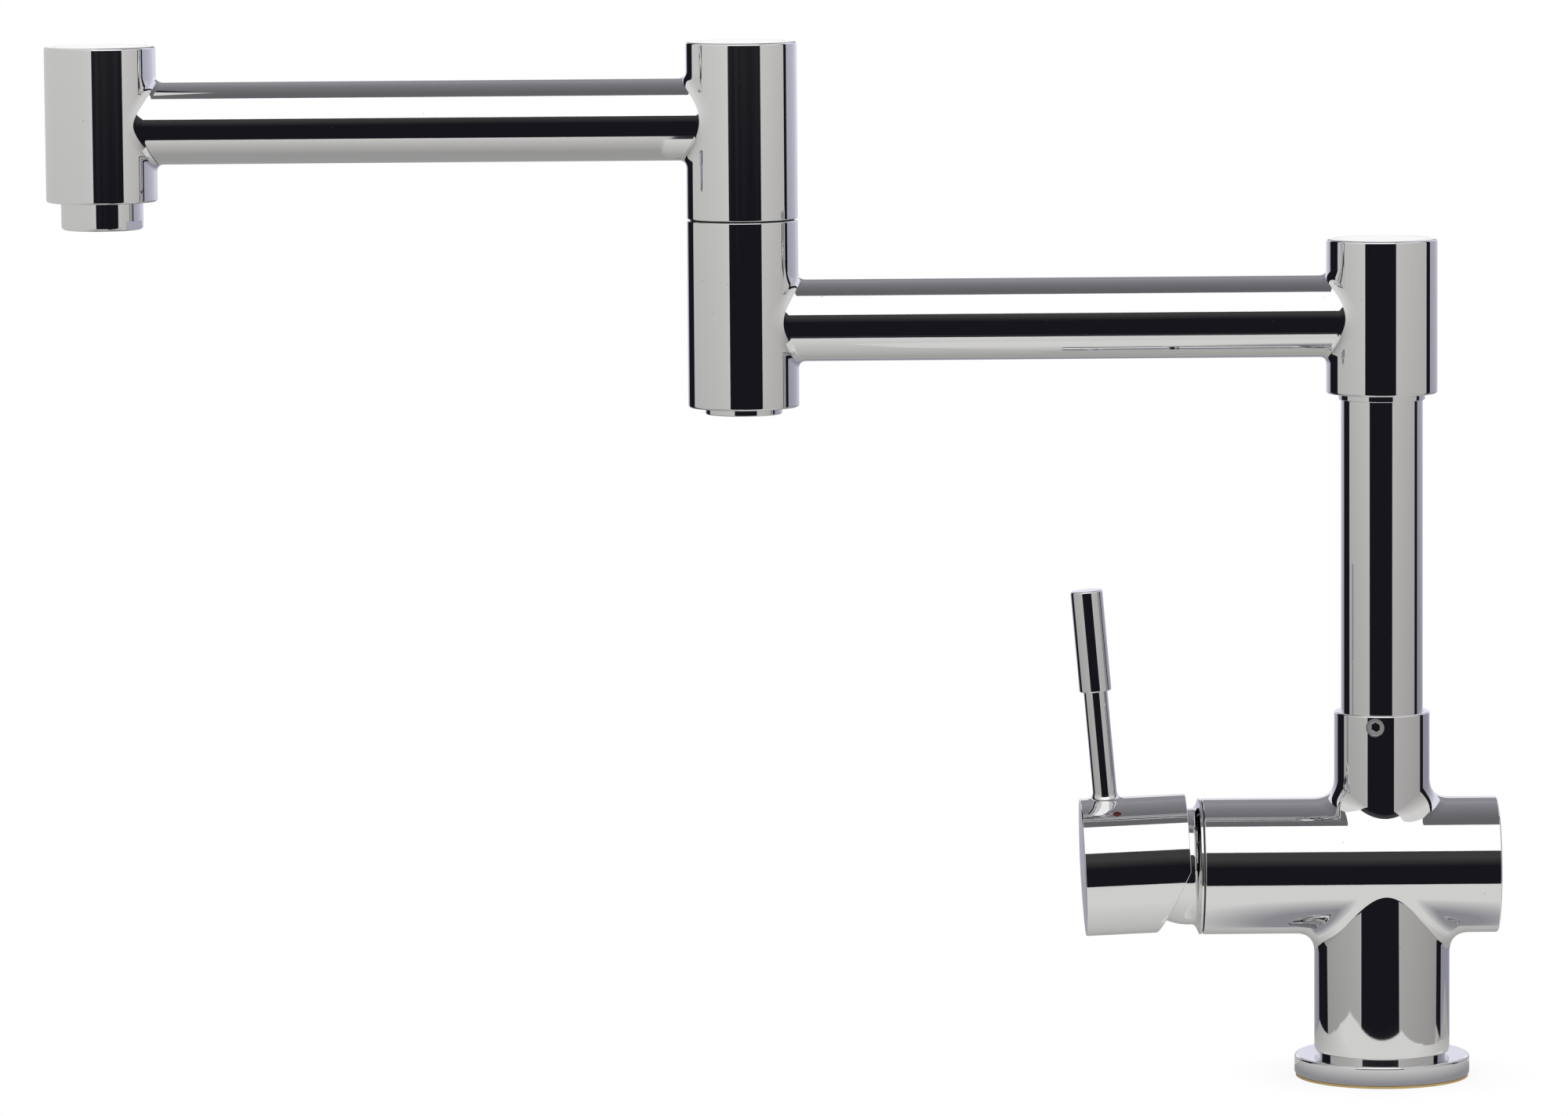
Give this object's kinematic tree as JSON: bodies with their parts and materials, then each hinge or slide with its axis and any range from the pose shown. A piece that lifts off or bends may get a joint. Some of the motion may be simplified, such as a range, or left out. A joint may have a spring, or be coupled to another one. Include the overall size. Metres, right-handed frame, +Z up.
{
  "type": "kitchen mixer tap with jointed swing spout",
  "caption": "Deck-mounted kitchen mixer: horizontal lever barrel on an upright stem, a riser and a swing spout of straight arms with an elbow joint, ending in an aerator.",
  "frame": {"origin": "centre of the deck face, on the column's axis", "axes": "+Z up along the column; the spout and the lever reach towards -X; -Y is the front"},
  "size_m": [0.4955, 0.0602, 0.3585],
  "materials": {
    "chrome": "mirror-polished, faint polishing waves",
    "gasket": "matt, amber edge",
    "screw_steel": "plain machined",
    "seal_rubber": "smooth, greased",
    "cartridge_plastic": "moulded",
    "ceramic": "lapped",
    "brass": "turned",
    "glide_plastic": "smooth",
    "hot_red": "gloss",
    "cold_blue": "gloss",
    "aerator_plastic": "moulded"
  },
  "bodies": {
    "base": {"deck_gasket": "gasket", "base_flange": "chrome", "mixer_body": "chrome", "spout_screw": "screw_steel", "cartridge_seals": "seal_rubber", "cartridge_base": "cartridge_plastic", "fixed_disc": "ceramic", "cartridge_housing": "cartridge_plastic", "cartridge_nut": "brass", "bonnet_ring": "seal_rubber", "bonnet": "chrome"},
    "rotor": {"cartridge_rotor": "cartridge_plastic", "pivot_pin": "screw_steel"},
    "valve_disc": {"moving_disc": "ceramic", "disc_driver": "cartridge_plastic"},
    "lever": {"lever_spindle": "screw_steel", "lever_cap": "chrome", "cap_screw": "screw_steel", "hot_mark": "hot_red", "cold_mark": "cold_blue", "lever_rod": "chrome", "lever_grip": "chrome"},
    "inner_spout": {"riser_foot": "brass", "riser_glide": "glide_plastic", "riser_seals": "seal_rubber", "riser_tube": "chrome", "riser_ring": "chrome", "lower_arm": "chrome", "column_lid": "chrome", "elbow_low_bush": "glide_plastic", "elbow_top_bush": "glide_plastic", "thrust_washer": "glide_plastic", "elbow_washer": "seal_rubber"},
    "outer_spout": {"elbow_spindle": "brass", "elbow_seals": "seal_rubber", "elbow_nut": "chrome", "upper_arm": "chrome", "elbow_lid": "chrome", "outlet_lid": "chrome", "aerator_washer": "seal_rubber", "aerator_housing": "chrome", "aerator_insert": "aerator_plastic"}
  },
  "joints": [
    {"name": "column_swivel", "type": "hinge", "parent": "base", "child": "inner_spout", "pos_m": [0, 0, 0.1138], "axis": [0, 0, 1], "continuous": true},
    {"name": "elbow_swivel", "type": "hinge", "parent": "inner_spout", "child": "outer_spout", "pos_m": [-0.2185, 0, 0.2978], "axis": [0, 0, 1], "continuous": true},
    {"name": "lever_turn", "type": "hinge", "parent": "base", "child": "rotor", "pos_m": [-0.0668, 0, 0.07315], "axis": [1, 0, 0], "range_deg": [-50, 50]},
    {"name": "lever_lift", "type": "hinge", "parent": "rotor", "child": "lever", "pos_m": [-0.0668, 0, 0.07315], "axis": [0, -1, 0], "range_deg": [0, 22]},
    {"name": "disc_slide", "type": "slide", "parent": "rotor", "child": "valve_disc", "axis": [0, 0, 1], "range_m": [0, 0.00572]}
  ],
  "couplings": [
    {"joint": "disc_slide", "follows": "lever_lift", "m_per_rad": 0.014888}
  ]
}
